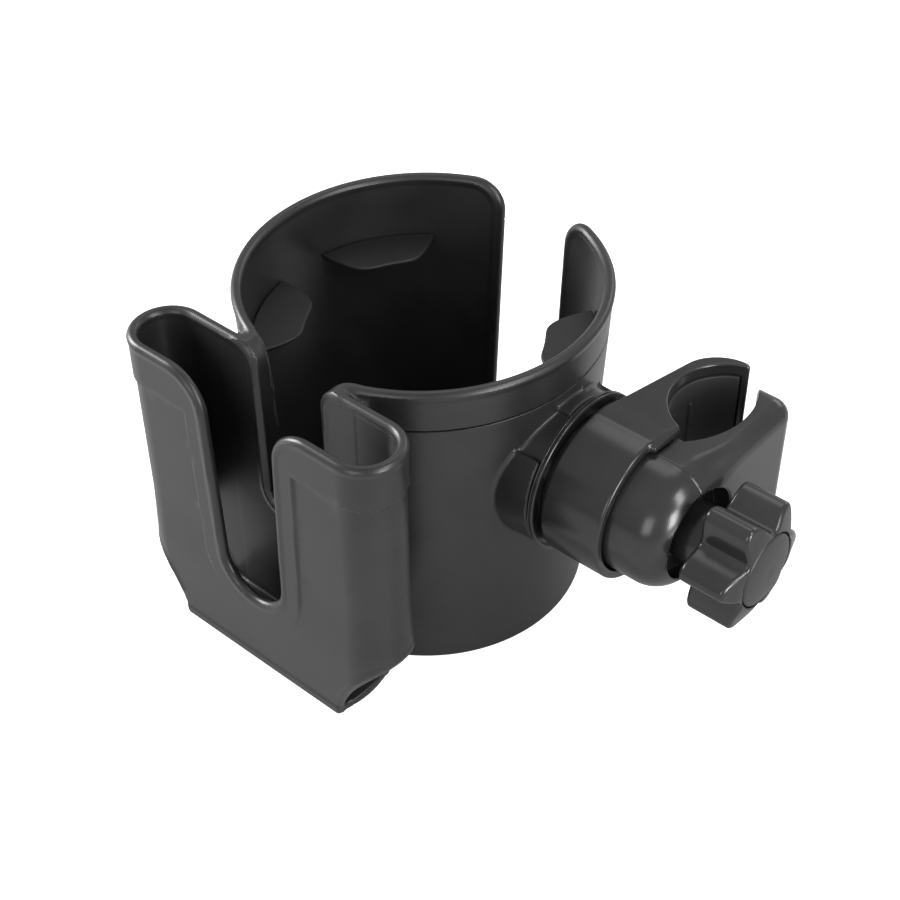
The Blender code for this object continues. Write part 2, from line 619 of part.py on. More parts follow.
def make_screw_and_nut(metal):
    groove_low = CLIP_X - 0.0002
    groove_high = CLIP_X + CLIP_THICKNESS + 0.0002
    groove = SCREW_RADIUS - 0.0005
    chamfer = 0.0007
    shank_end = SCREW_HEAD_START + 0.001
    profile = [(0, SCREW_TIP), (SCREW_RADIUS - chamfer, SCREW_TIP), (SCREW_RADIUS, SCREW_TIP + chamfer),
               (SCREW_RADIUS, groove_low), (groove, groove_low), (groove, groove_high),
               (SCREW_RADIUS, groove_high), (SCREW_RADIUS, shank_end), (0, shank_end)]
    screw = turned("clamp_screw", profile, 32, metal, axis_x=True, z=AXIS_Z)
    join(screw, hex_prism("guide_screw_head", SCREW_HEAD_FLATS, SCREW_HEAD_START,
                          SCREW_HEAD_START + SCREW_HEAD_HEIGHT))

    nut = hex_prism("clamp_nut", NUT_FLATS, NUT_START, NUT_START + NUT_LENGTH, 30, metal)
    cut(nut, disc_x("guide_clamp_nut_bore", SCREW_RADIUS + GAP, 0.060, 0.080, 24))

    inner = groove + GAP
    outline = arc_points(0, AXIS_Z, CLIP_RADIUS, 40, 320, 20) + arc_points(0, AXIS_Z, inner, 320, 40, 20)
    prism("retaining_clip", outline, CLIP_X, CLIP_X + CLIP_THICKNESS, "X", metal)
    ring_x("thrust_washer", SCREW_RADIUS + GAP, THRUST_WASHER_RADIUS, KNOB_RECESS_FLOOR + GAP,
           HUB_START - GAP, 32, metal)


def lobed(shrink=0.0, steps=72):
    """The knob's outline, drawn inwards by shrink, as (y, z) points."""
    points = []
    for i in range(steps):
        angle = 2 * math.pi * i / steps
        radius = KNOB_MEAN_RADIUS + KNOB_LOBE_HEIGHT * math.cos(KNOB_LOBES * (angle - KNOB_PHASE)) - shrink
        points.append((radius * math.cos(angle), AXIS_Z + radius * math.sin(angle)))
    return points


def make_knob(plastic, cap_plastic):
    edge = 0.0009
    rings = [(lobed(shrink=edge), KNOB_REAR), (lobed(), KNOB_REAR + edge), (lobed(), KNOB_FRONT - edge),
             (lobed(shrink=edge), KNOB_FRONT)]
    knob = loft("knob", [[(x, y, z) for y, z in ring] for ring, x in rings], plastic)
    join(knob, disc_x("guide_knob_hub", HUB_RADIUS, HUB_START, KNOB_REAR + 0.002, 48))
    join(knob, disc_x("guide_knob_face", KNOB_FACE_RADIUS, KNOB_REAR + 0.003, KNOB_FACE, 48))
    cut(knob, disc_x("guide_cap_seat", CAP_RADIUS + GAP, CAP_REAR - GAP, 0.120, 48))
    cut(knob, hex_prism("guide_head_pocket", SCREW_HEAD_FLATS + 2 * GAP, SCREW_HEAD_START - GAP, 0.110))
    cut(knob, disc_x("guide_knob_bore", SCREW_RADIUS + GAP, 0.070, 0.110, 24))
    cap = [(0, CAP_REAR), (CAP_RADIUS, CAP_REAR), (CAP_RADIUS, KNOB_FACE),
           (CAP_RADIUS - 0.0006, KNOB_FACE + 0.0004), (CAP_RADIUS * 0.6, KNOB_FACE + 0.0009),
           (0, KNOB_FACE + 0.0011)]
    turned("knob_cap", cap, 48, cap_plastic, axis_x=True, z=AXIS_Z)
    return knob


def main():
    clear_scene()
    shell = make_material("black_plastic", (0.012, 0.012, 0.013), 0.42)
    gloss = make_material("clamp_plastic", (0.010, 0.010, 0.011), 0.30)
    rubber = make_material("black_rubber", (0.014, 0.014, 0.015), 0.70)
    steel = make_material("zinc_steel", (0.55, 0.55, 0.56), 0.35, 1.0)
    make_cup_and_pocket(shell)
    for number, angle in enumerate(FIN_ANGLES, 1):
        make_fin(number, angle, rubber)
    make_swivel(steel, gloss, rubber)
    make_fixed_jaw(gloss)
    make_moving_jaw(gloss)
    make_pads(rubber)
    make_screw_and_nut(steel)
    make_knob(gloss, shell)


main()
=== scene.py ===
"""Looks for the clamp-on cup holder: fine moulded shapes, materials, floor, light and camera.

The moulded pieces are drawn as smooth distance fields in millimetres and meshed here, so that every edge has
the rolled bead, fillet or soft radius that a moulding has. Each one rides on its CAD body and stands for its
CAD node. The frame is the CAD frame: cup axis on Z, clamp on +X, pocket on -Y.
"""

import math

import bpy
import numpy as np
from mathutils import Matrix, Vector


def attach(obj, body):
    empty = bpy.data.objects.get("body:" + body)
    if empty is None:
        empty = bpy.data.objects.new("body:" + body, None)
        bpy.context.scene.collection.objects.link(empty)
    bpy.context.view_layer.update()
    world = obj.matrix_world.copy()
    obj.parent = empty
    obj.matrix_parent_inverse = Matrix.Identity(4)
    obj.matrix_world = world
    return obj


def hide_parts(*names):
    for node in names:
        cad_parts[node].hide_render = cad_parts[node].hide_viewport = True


MM = 0.001
TOP = 94.4                 # top of every rolled rim
AXIS = 58.5                # height of the swivel axis
TUBE_Y = 24.2              # y of the clamped tube's axis
SETTLE_REACH = 0.03        # half the step that a slope is measured over, to move points
SHADE_REACH = 0.12         # and to shade the surface
LEAST_SLOPE = 0.05         # squared, so that flat spots of a field don't throw points far
TINY = 1e-9


# ---------------------------------------------------------------- distance field tools (millimetres)

def blend_union(a, b, k):
    """Union with a soft inner corner of about k."""
    h = np.maximum(k - np.abs(a - b), 0.0) / k
    return np.minimum(a, b) - h * h * k * 0.25


def blend_cut(a, b, k):
    """Intersection with a soft edge of about k."""
    return -blend_union(-a, -b, k)


def round_both(a, b, radius):
    """Intersection of a and b whose shared edge has a true radius."""
    u = np.maximum(a + radius, 0.0)
    v = np.maximum(b + radius, 0.0)
    return np.minimum(np.maximum(a, b), -radius) + np.sqrt(u * u + v * v)


def step(x, low, high):
    """Rises smoothly from 0 at low to 1 at high."""
    t = np.clip((x - low) / (high - low), 0.0, 1.0)
    return t * t * (3.0 - 2.0 * t)


def levels_of(stretches):
    """Joins stretches of (start, end, spacing) into one list of grid levels."""
    levels = []
    for low, high, spacing in stretches:
        count = max(1, int(round((high - low) / spacing)))
        levels += [low + (high - low) * i / count for i in range(count)]
    levels.append(stretches[-1][1])
    return np.array(levels)


def even(low, high, spacing):
    return levels_of([(low, high, spacing)])


def around(centre, half, spacing):
    return even(centre - half, centre + half, spacing)


def crossings(field, xs, ys, zs):
    """Points and quads of the field's zero level on a box grid: one point per crossed cell."""
    values = np.broadcast_to(field(xs[:, None, None], ys[None, :, None], zs[None, None, :]),
                             (len(xs), len(ys), len(zs))).astype(np.float32)
    inside = values < 0
    total = np.zeros(tuple(n - 1 for n in inside.shape), np.int8)
    corners = [(i, j, k) for i in (0, 1) for j in (0, 1) for k in (0, 1)]
    nx, ny, nz = total.shape
    for i, j, k in corners:
        total += inside[i:i + nx, j:j + ny, k:k + nz]
    cells = np.argwhere((total > 0) & (total < 8))
    number = np.full(total.shape, -1, np.int64)
    number[tuple(cells.T)] = np.arange(len(cells))
    at = {c: values[tuple((cells + c).T)] for c in corners}
    grids = (xs, ys, zs)
    place = {c: np.stack([grids[n][cells[:, n] + c[n]] for n in range(3)], 1) for c in corners}
    sums = np.zeros((len(cells), 3))
    counts = np.zeros(len(cells))
    for a in corners:
        for axis in range(3):
            if a[axis]:
                continue
            b = tuple(1 if n == axis else c for n, c in enumerate(a))
            crossed = (at[a] < 0) != (at[b] < 0)
            t = at[a][crossed] / (at[a][crossed] - at[b][crossed])
            sums[crossed] += place[a][crossed] + t[:, None] * (place[b][crossed] - place[a][crossed])
            counts[crossed] += 1
    points = sums / counts[:, None]
    quads = []
    for axis in range(3):
        u = (axis + 1) % 3
        v = (axis + 2) % 3
        low = [slice(None)] * 3
        high = [slice(None)] * 3
        low[axis] = slice(0, -1)
        high[axis] = slice(1, None)
        first = inside[tuple(low)]
        where = np.argwhere(first != inside[tuple(high)])
        keep = (where[:, u] > 0) & (where[:, v] > 0)
        keep &= (where[:, u] < inside.shape[u] - 1) & (where[:, v] < inside.shape[v] - 1)
        where = where[keep]
        ring = []
        for du, dv in ((-1, -1), (0, -1), (0, 0), (-1, 0)):
            cell = where.copy()
            cell[:, u] += du
            cell[:, v] += dv
            ring.append(number[tuple(cell.T)])
        ring = np.stack(ring, 1)
        flip = ~first[tuple(where.T)]
        ring[flip] = ring[flip][:, ::-1]
        quads.append(ring)
    return points, np.concatenate(quads)


def slope(field, p, reach):
    """The field's gradient at points, from differences over +-reach."""
    out = np.empty_like(p)
    for axis in range(3):
        shift = np.zeros(3)
        shift[axis] = reach
        rise = field(*(p + shift).T) - field(*(p - shift).T)
        out[:, axis] = rise / (2 * reach)
    return out


def settle(field, p, rounds, limit):
    """Moves points onto the zero level along the gradient, by at most limit each round."""
    for _ in range(rounds):
        g = slope(field, p, SETTLE_REACH)
        move = -g * (field(*p.T) / np.maximum((g * g).sum(1), LEAST_SLOPE))[:, None]
        length = np.sqrt((move * move).sum(1))
        move *= np.minimum(1.0, limit / np.maximum(length, TINY))[:, None]
        p = p + move
    return p


def object_from(name, points, faces):
    """A mesh object in metres from points in millimetres."""
    mesh = bpy.data.meshes.new(name)
    mesh.from_pydata([tuple(q) for q in points * MM], [], [tuple(f) for f in faces])
    mesh.update()
    obj = bpy.data.objects.new(name, mesh)
    bpy.context.scene.collection.objects.link(obj)
    return obj


def moulded(name, field, xs, ys, zs, triangles):
    """Meshes a field, thins it to about the given number of triangles and shades it by the field's slope."""
    points, quads = crossings(field, xs, ys, zs)
    spacing = float(np.diff(xs).max())
    points = settle(field, points, 2, 0.5 * spacing)
    obj = object_from(name, points, quads)
    share = triangles / (2.0 * len(quads))
    if share < 1.0:
        thin = obj.modifiers.new("thin", "DECIMATE")
        thin.ratio = share
        bpy.context.view_layer.update()
        mesh = bpy.data.meshes.new_from_object(obj.evaluated_get(bpy.context.evaluated_depsgraph_get()))
        obj.modifiers.clear()
        old = obj.data
        obj.data = mesh
        bpy.data.meshes.remove(old)
        mesh.name = name
    mesh = obj.data
    flat = np.empty(len(mesh.vertices) * 3)
    mesh.vertices.foreach_get("co", flat)
    p = settle(field, flat.reshape(-1, 3) / MM, 2, 0.25 * spacing)
    mesh.vertices.foreach_set("co", (p * MM).ravel())
    normal = slope(field, p, SHADE_REACH)
    normal /= np.maximum(np.linalg.norm(normal, axis=1), TINY)[:, None]
    mesh.shade_smooth()
    mesh.normals_split_custom_set_from_vertices(normal.tolist())
    mesh.update()
    return obj


# ---------------------------------------------------------------- cup and phone pocket
# The last argument of blend_union, blend_cut and round_both is that edge's radius.

CUP_BASE_RADIUS = 43.5
CUP_FLARE = 4.3            # the cup is this much wider at FLARE_TOP
FLARE_TOP = 93.0
CUP_WALL = 2.3
CUP_FLOOR = 2.6
RIM_BEAD = 1.4
GROOVE_Z = 82.8            # fine line round the cup below its rim
GROOVE_HALF_WIDTH = 0.24
GROOVE_DEPTH = 0.8
GROOVE_END_Y = -40.0       # the line stops where the pocket's web begins
HANDLE_HALF_WIDTH = 10.5
HANDLE_BOTTOM = 14.0
HANDLE_CORNER = 5.0
HANDLE_FLARE = 9.0

POCKET_MIDDLE = -56.4      # y of the plane half way through the pocket
POCKET_STRAIGHT = 32.2     # half the length of the pocket's flat sides
POCKET_ROUND = 9.3         # radius of the pocket's round ends
POCKET_WALL = 1.9
POCKET_BOTTOM = 6.5
POCKET_FLOOR_TOP = 8.7
POCKET_FLOOR_END = 29.3    # the floor stops here, at the open corners
FLOOR_END_CURVE = 0.018
PROUD = 0.55               # the band and borders stand this far off the panels
BAND_LOW = 81.8
BORDER = 6.9               # width of the border beside the front slot
PANEL_LOW = 27.0           # the panels sink in between these heights
PANEL_HIGH = 47.0
CORNER_X = 66.6            # each open corner is cut along this arc
CORNER_Z = -3.3
CORNER_RADIUS = 40.2
SLOT_LOW = 9.9             # half widths of the front slot, at its round bottom
SLOT_HIGH = 11.5           # and at the rim
SLOT_CENTRE = 39.9
SLOT_FLARE = 11.0
BACK_SLOT_HALF_WIDTH = 10.9
BACK_SLOT_BOTTOM = 44.0
BACK_SLOT_CORNER = 6.0
BACK_SLOT_FLARE = 7.0

WEB_TOP = 94.25
WEB_DROP = 2.5             # the web's top falls by this much towards its sides
WEB_HALF_WIDTH = 20.5
WEB_BACK = -36.0
WEB_FRONT = -48.5
WEB_LINING = 0.3           # the web lines the slot between cup and pocket by this much
WEB_LIP = 0.15
CORE_DEPTH = 1.2           # the web's soft core and the boss start this far inside the cup's face

BOSS_RADIUS = 21.5
BOSS_FACE = 51.0
BOSS_START = 30.0
BOSS_TAPER = 0.05
TAPER_START = 42.0
WINDOW_DEPTH = 1.35
WINDOW_FIRST = 37.4        # angle about the swivel, in degrees, where each window starts
WINDOW_LAST = 77.4
WINDOW_EDGE = 2.4
RING_INNER = 9.0
RING_OUTER = 18.2
RING_FLOOR = 47.8
SEAT_RADIUS = 7.0
SEAT_FLOOR = 47.0
SEAT_START = 35.0
PIVOT_BORE = 2.9

INSIDE = -99.0             # stands for "well inside" where an edge isn't wanted
CLEAR = 5.0                # the same, for edges that are blended nearby


def cup_radius(z):
    return CUP_BASE_RADIUS + CUP_FLARE * z / FLARE_TOP


def u_slot(x, z):
    """Distance to the slot in the pocket's front: slightly flared, with a half-round bottom."""
    lean = (SLOT_HIGH - SLOT_LOW) / (FLARE_TOP - SLOT_CENTRE)
    side = np.abs(x) - (SLOT_LOW + (z - SLOT_CENTRE) * lean)
    return np.where(z > SLOT_CENTRE, side, np.sqrt(x * x + (z - SLOT_CENTRE) ** 2) - SLOT_LOW)


def sheet(m, half, e, bead):
    """A wall about a middle surface m, whose free edge e ends in a bead."""
    wall = np.maximum(np.abs(m) - half, e + bead)
    roll = np.sqrt(m * m + (e + bead) ** 2) - bead
    return blend_union(wall, roll, 0.7)


def cup_part(ax, y, z, r, back_slot):
    """Cup wall with its rolled rim, its floor and the fine line round it."""
    radius = cup_radius(z)
    handle = round_both(ax - HANDLE_HALF_WIDTH, HANDLE_BOTTOM - z, HANDLE_CORNER)
    edge = round_both(z - TOP, np.where(y > 0, -handle, INSIDE), HANDLE_FLARE)
    edge = round_both(edge, np.where(y < 0, -back_slot, INSIDE), BACK_SLOT_FLARE)
    cup = sheet(r - radius + CUP_WALL / 2, CUP_WALL / 2, edge, RIM_BEAD)
    cup = blend_union(cup, np.maximum(z - CUP_FLOOR, r - radius + 0.4), 1.6)
    cup = np.maximum(cup, round_both(np.where(z > 6.0, -CLEAR, r - radius), -z, 1.3))
    groove = np.maximum(np.abs(z - GROOVE_Z) - GROOVE_HALF_WIDTH, radius - GROOVE_DEPTH - r)
    return np.maximum(cup, -np.where(y > GROOVE_END_Y, groove, 9.0))


def pocket_part(x, ax, y, z, d, back_slot):
    """Phone pocket about its plan d, with raised borders round the panels, and its floor."""
    slot = u_slot(x, z)
    beside = np.where(y < POCKET_MIDDLE - 2.0, slot - BORDER, 50.0)
    inset = np.minimum(beside, BAND_LOW - z)
    proud = PROUD * (1.0 - step(inset, -0.25, 0.35) * step(z, PANEL_LOW, PANEL_HIGH))
    half_wall = (POCKET_WALL + proud) / 2
    edge = round_both(z - TOP, np.where(y < POCKET_MIDDLE, -slot, INSIDE), SLOT_FLARE)
    edge = round_both(edge, np.where(y >= POCKET_MIDDLE, -back_slot, INSIDE), BACK_SLOT_FLARE)
    corner = CORNER_RADIUS - np.sqrt((ax - CORNER_X) ** 2 + (z - CORNER_Z) ** 2)
    edge = round_both(edge, corner, 1.0)
    pocket = sheet(d + half_wall - proud, half_wall, edge, half_wall + 0.12)
    under = np.where(z < 14.0, round_both(d - proud, POCKET_BOTTOM - z, 0.9), -CLEAR)
    pocket = np.maximum(pocket, under)
    floor_end = ax - POCKET_FLOOR_END + FLOOR_END_CURVE * (y - POCKET_MIDDLE) ** 2
    floor = np.maximum(np.maximum(z - POCKET_FLOOR_TOP, under), floor_end)
    return blend_union(pocket, floor, 1.2)


def web_parts(ax, y, z, r, d):
    """The web between the pocket's back and the cup, as a soft core and a sharp skin."""
    radius = cup_radius(z)
    web_top = WEB_TOP - WEB_DROP * step(ax, 14.0, 20.4)
    lined = round_both(ax - (BACK_SLOT_HALF_WIDTH - WEB_LINING), BACK_SLOT_BOTTOM - WEB_LINING - z,
                       BACK_SLOT_CORNER)
    web = np.maximum(round_both(z - web_top, -lined, BACK_SLOT_FLARE), POCKET_BOTTOM - z)
    web = np.maximum(np.maximum(web, ax - WEB_HALF_WIDTH), np.maximum(y - WEB_BACK, WEB_FRONT - y))
    core = np.maximum(web, np.maximum(radius - CORE_DEPTH - r, -0.7 - d))
    lip = WEB_LIP * (1.0 - step(ax, 11.5, 16.0))
    skin = np.maximum(web, np.maximum(radius - CUP_WALL - lip - r, -POCKET_WALL - lip - d))
    return core, skin


def with_boss(body, x, y, z, r):
    """Adds the boss, with its ring-shaped pocket, shut-off windows and screw hole."""
    w = z - AXIS
    rho = np.sqrt(y * y + w * w)
    turn = np.degrees(np.arctan2(w, np.abs(y)))
    window = step(turn, WINDOW_FIRST, WINDOW_FIRST + WINDOW_EDGE)
    window = window * (1.0 - step(turn, WINDOW_LAST - WINDOW_EDGE, WINDOW_LAST))
    side = rho - BOSS_RADIUS + BOSS_TAPER * (x - TAPER_START) + WINDOW_DEPTH * window
    boss = round_both(side, x - BOSS_FACE, 0.5)
    boss = np.maximum(boss, cup_radius(z) - CORE_DEPTH - r)
    boss = np.maximum(boss, BOSS_START - x)
    body = blend_union(body, boss, 0.9)
    ring = np.maximum(np.maximum(RING_INNER - rho, rho - RING_OUTER), RING_FLOOR - x)
    body = blend_cut(body, -ring, 0.4)
    bore = np.maximum(rho - np.where(x < SEAT_FLOOR, SEAT_RADIUS, PIVOT_BORE), SEAT_START - x)
    return blend_cut(body, -bore, 0.4)


def cup_field(x, y, z):
    r = np.sqrt(x * x + y * y)
    ax = np.abs(x)
    back_slot = round_both(ax - BACK_SLOT_HALF_WIDTH, BACK_SLOT_BOTTOM - z, BACK_SLOT_CORNER)
    d = np.sqrt(np.maximum(ax - POCKET_STRAIGHT, 0.0) ** 2 + (y - POCKET_MIDDLE) ** 2) - POCKET_ROUND
    cup = cup_part(ax, y, z, r, back_slot)
    pocket = pocket_part(x, ax, y, z, d, back_slot)
    core, skin = web_parts(ax, y, z, r, d)
    body = blend_union(blend_union(cup, pocket, 1.6), core, 2.0)
    body = blend_union(body, skin, 0.1)
    return with_boss(body, x, y, z, r)


# ---------------------------------------------------------------- clamp

FIXED_X = 78.2             # centre of the fixed jaw's gripping arc
FIXED_GRIP = 15.7
FIXED_PER_DEGREE = 0.27    # length along that arc for each degree
FIXED_PAD_MIDDLE = 10.0    # degrees
FIXED_SEAT_REACH = 55.0
FIXED_SEAT_DEPTH = 1.9
FIXED_PAD_REACH = 53.5
FIXED_SEAT_HEIGHT = 16.8   # half heights, as all the heights here
FIXED_PAD_HEIGHT = 16.5
FIXED_PAD_FACE = 15.1      # the pad lies between these radii
FIXED_PAD_BACK = 17.3
FIXED_RIBS = (-32.0, -8.0, 16.0)
FIXED_RIB_HEIGHT = 9.5
TIP_SHALLOW = 1.5          # the pad thins by this much towards the jaw's tip
SHELL_RADIUS = 20.3
SHELL_START = 54.5
SHELL_END = 71.6
NECK_RADIUS = 16.5
NECK_START = 51.7
NECK_END = 56.0
SPINE_X = 54.6             # the hook's back leans from this point,
SPINE_Y = 4.0
SPINE_RUN = 27.5           # this far along y
SPINE_LEAN = 5.6           # for this much along x
SPINE_LENGTH = 28.06
FIXED_TIP = 40.5
FIXED_FRONT = 73.1
FIXED_START_Y = -1.0
FIXED_HEIGHT = 20.0
BORE_RADIUS = 18.0
BORE_FLOOR = 57.5
BORE_SIDE = 8.6
RELIEF_START = 68.5
RELIEF_SIDE = 10.0
RELIEF_HEIGHT = 17.7
POST_HALF_WIDTH = 6.0
POST_HALF_HEIGHT = 7.6
POST_START = 57.0
POST_END = 73.0
POST_BORE = 5.2
POST_BORE_FLOOR = 58.0

MOVING_X = 58.2            # centre of the moving jaw's gripping arc
MOVING_GRIP = 23.3
MOVING_PER_DEGREE = 0.41
MOVING_PAD_MIDDLE = -0.5   # degrees
MOVING_SEAT_REACH = 26.5
MOVING_SEAT_PAST = 3.0
MOVING_SEAT_FLOOR = 25.2
MOVING_SEAT_HEIGHT = 14.3
MOVING_PAD_REACH = 25.7
MOVING_PAD_HEIGHT = 14.0
MOVING_PAD_CENTRE = 23.8   # radius of the pad's middle surface
MOVING_PAD_HALF = 1.1
MOVING_RIBS = (-17.0, 0.0, 17.0)
MOVING_RIB_HEIGHT = 8.0
JAW_RADIUS = 17.4
JAW_FRONT = 87.6
JAW_TIP = 39.5
NOSE = 9.0                 # rounding of the barrel's front edge
NOSE_SHARPER = 4.0         # and how much sharper the hook's is
BARREL_START = 61.3
BARREL_BORE = 15.6
BARREL_BORE_END = 79.5
BARREL_BORE_SIDE = 6.3
BARREL_SIDE = 8.2
SPACE_END = 73.5           # the tube's space cuts the barrel up to here
HOOK_BACK = 73.3
RECESS_RADIUS = 12.3
RECESS_FLOOR = 82.5
SCREW_BORE = 3.15
RIB = 0.55                 # half the width of the pads' ribs
RIB_DEPTH = 0.05           # their centres lie this deep in the pad

KNOB_LOBES = 6
KNOB_PHASE = math.radians(52)
KNOB_RADIUS = 13.7
KNOB_LOBE_HEIGHT = 2.9
KNOB_REAR = 91.8
KNOB_FRONT = 106.0
KNOB_DISH = 1.7            # the face falls by this much between these radii
DISH_START = 9.5
DISH_END = 16.5
HUB_RADIUS = 8.0
HUB_START = 84.1
HUB_END = 93.0
CAP_SEAT_RADIUS = 10.05
CAP_SEAT_FLOOR = 104.0
HEAD_POCKET_RADIUS = 6.2
HEAD_POCKET_FLOOR = 98.3

FIN_Z = 75.8
FIN_HALF_ANGLE = math.radians(21.0)
FIN_REACH = 13.4
FIN_ROUND = 1.31           # exponents of the outline, across the fin
FIN_SQUARE = 4.7           # and along the wall
FIN_HALF_LENGTH = 16.2
FIN_RISE = 0.5
FIN_HALF_THICKNESS = 0.72
FIN_THINNING = 0.22
FIN_WALL_GAP = 0.25


def jaw_arc(x, y, centre_x, facing):
    """Distance from a gripping arc's centre, and the angle about it in degrees."""
    grip = np.sqrt((x - centre_x) ** 2 + (y - TUBE_Y) ** 2)
    turn = np.degrees(np.arctan2(y - TUBE_Y, facing * (x - centre_x)))
    return grip, turn


def thinner_tip(turn):
    return TIP_SHALLOW * step(turn, 44.0, 62.0)


def fixed_jaw_field(x, y, z):
    w = z - AXIS
    rho = np.sqrt(y * y + w * w)
    grip, turn = jaw_arc(x, y, FIXED_X, -1.0)
    shell = round_both(rho - SHELL_RADIUS, np.maximum(SHELL_START - x, x - SHELL_END), 0.8)
    neck = np.maximum(rho - NECK_RADIUS, np.maximum(NECK_START - x, x - NECK_END))
    spine = ((SPINE_X - x) * SPINE_RUN + (y - SPINE_Y) * SPINE_LEAN) / SPINE_LENGTH
    outline = round_both(spine, y - FIXED_TIP, 9.5)
    outline = round_both(outline, x - FIXED_FRONT, 1.3)
    outline = np.maximum(np.maximum(outline, SPINE_X - x), FIXED_START_Y - y)
    hook = round_both(outline, np.abs(w) - FIXED_HEIGHT, 1.2)
    body = blend_union(shell, hook, 1.5)
    body = round_both(body, FIXED_GRIP - grip, 0.5)
    body = np.minimum(body, neck)
    bore = np.maximum(np.maximum(rho - BORE_RADIUS, BORE_FLOOR - x), y - BORE_SIDE)
    body = blend_cut(body, -bore, 0.5)
    relief = np.maximum(np.maximum(RELIEF_START - x, y - RELIEF_SIDE),
                        np.maximum(-y, np.abs(w) - RELIEF_HEIGHT))
    body = blend_cut(body, -relief, 0.3)
    post = round_both(np.abs(y) - POST_HALF_WIDTH, np.abs(w) - POST_HALF_HEIGHT, 1.5)
    post = np.maximum(post, np.maximum(POST_START - x, x - POST_END))
    body = np.minimum(body, post)
    body = np.maximum(body, -np.maximum(rho - POST_BORE, POST_BORE_FLOOR - x))
    seat_floor = FIXED_GRIP + FIXED_SEAT_DEPTH - thinner_tip(turn)
    seat = np.maximum(grip - seat_floor, np.abs(w) - FIXED_SEAT_HEIGHT)
    ends = (np.abs(turn - FIXED_PAD_MIDDLE) - FIXED_SEAT_REACH) * FIXED_PER_DEGREE
    return blend_cut(body, -np.maximum(seat, ends), 0.3)


def with_ribs(pad, turn, per_degree, depth, aw, half_height, centres):
    """Adds round ribs that run up a pad, each centred on an angle."""
    for centre in centres:
        across = (turn - centre) * per_degree
        past = np.maximum(aw - half_height, 0.0)
        rib = np.sqrt(across ** 2 + depth ** 2 + past ** 2) - RIB
        pad = blend_union(pad, rib, 0.3)
    return pad


def fixed_pad_field(x, y, z):
    aw = np.abs(z - AXIS)
    grip, turn = jaw_arc(x, y, FIXED_X, -1.0)
    ends = (np.abs(turn - FIXED_PAD_MIDDLE) - FIXED_PAD_REACH) * FIXED_PER_DEGREE
    sides = round_both(ends, aw - FIXED_PAD_HEIGHT, 0.6)
    back = FIXED_PAD_BACK - thinner_tip(turn)
    pad = round_both(sides, np.maximum(FIXED_PAD_FACE - grip, grip - back), 0.3)
    depth = grip - (FIXED_PAD_FACE + RIB_DEPTH)
    return with_ribs(pad, turn, FIXED_PER_DEGREE, depth, aw, FIXED_RIB_HEIGHT, FIXED_RIBS)


def moving_jaw_field(x, y, z):
    w = z - AXIS
    aw = np.abs(w)
    rho = np.sqrt(y * y + w * w)
    grip, turn = jaw_arc(x, y, MOVING_X, 1.0)
    barrel = np.maximum(round_both(rho - JAW_RADIUS, x - JAW_FRONT, NOSE), BARREL_START - x)
    hook = round_both(aw - JAW_RADIUS, x - JAW_FRONT, NOSE - NOSE_SHARPER * step(y, 0.0, 16.0))
    hook = round_both(hook, y - JAW_TIP, 5.5)
    hook = np.maximum(hook, np.maximum(HOOK_BACK - x, -y))
    body = blend_union(barrel, hook, 0.8)
    space = np.maximum(BARREL_SIDE - y, np.minimum(grip - MOVING_GRIP, x - SPACE_END))
    body = round_both(body, -space, 0.5)
    hollow = np.maximum(np.maximum(rho - BARREL_BORE, x - BARREL_BORE_END), y - BARREL_BORE_SIDE)
    body = blend_cut(body, -hollow, 0.4)
    recess = np.maximum(rho - RECESS_RADIUS, RECESS_FLOOR - x)
    body = round_both(body, -recess, 0.6)
    body = np.maximum(body, SCREW_BORE - rho)
    seat = np.maximum(MOVING_GRIP - MOVING_SEAT_PAST - grip, grip - MOVING_SEAT_FLOOR)
    ends = (np.abs(turn - MOVING_PAD_MIDDLE) - MOVING_SEAT_REACH) * MOVING_PER_DEGREE
    seat = np.maximum(seat, np.maximum(aw - MOVING_SEAT_HEIGHT, ends))
    return blend_cut(body, -seat, 0.3)


def moving_pad_field(x, y, z):
    aw = np.abs(z - AXIS)
    grip, turn = jaw_arc(x, y, MOVING_X, 1.0)
    ends = (np.abs(turn - MOVING_PAD_MIDDLE) - MOVING_PAD_REACH) * MOVING_PER_DEGREE
    sides = round_both(ends, aw - MOVING_PAD_HEIGHT, 0.6)
    pad = round_both(sides, np.abs(grip - MOVING_PAD_CENTRE) - MOVING_PAD_HALF, 0.4)
    depth = grip - (MOVING_PAD_CENTRE - MOVING_PAD_HALF + RIB_DEPTH)
    return with_ribs(pad, turn, MOVING_PER_DEGREE, depth, aw, MOVING_RIB_HEIGHT, MOVING_RIBS)


def knob_field(x, y, z):
    w = z - AXIS
    rho = np.sqrt(y * y + w * w) + 1e-6
    wave = KNOB_LOBES * (np.arctan2(w, y) - KNOB_PHASE)
    radius = KNOB_RADIUS + KNOB_LOBE_HEIGHT * np.cos(wave)
    tilt = KNOB_LOBES * KNOB_LOBE_HEIGHT * np.sin(wave) / np.maximum(rho, 8.0)
    side = (rho - radius) / np.sqrt(1.0 + tilt * tilt)
    front = KNOB_FRONT - KNOB_DISH * step(rho, DISH_START, DISH_END)
    knob = round_both(side, np.maximum(KNOB_REAR - x, x - front), 1.1)
    hub = round_both(rho - HUB_RADIUS, np.maximum(HUB_START - x, x - HUB_END), 0.5)
    knob = blend_union(knob, hub, 0.8)
    cap_seat = np.maximum(rho - CAP_SEAT_RADIUS, CAP_SEAT_FLOOR - x)
    knob = blend_cut(knob, -cap_seat, 0.25)
    head_pocket = np.maximum(rho - HEAD_POCKET_RADIUS, HEAD_POCKET_FLOOR - x)
    knob = np.maximum(knob, -head_pocket)
    return np.maximum(knob, SCREW_BORE - rho)


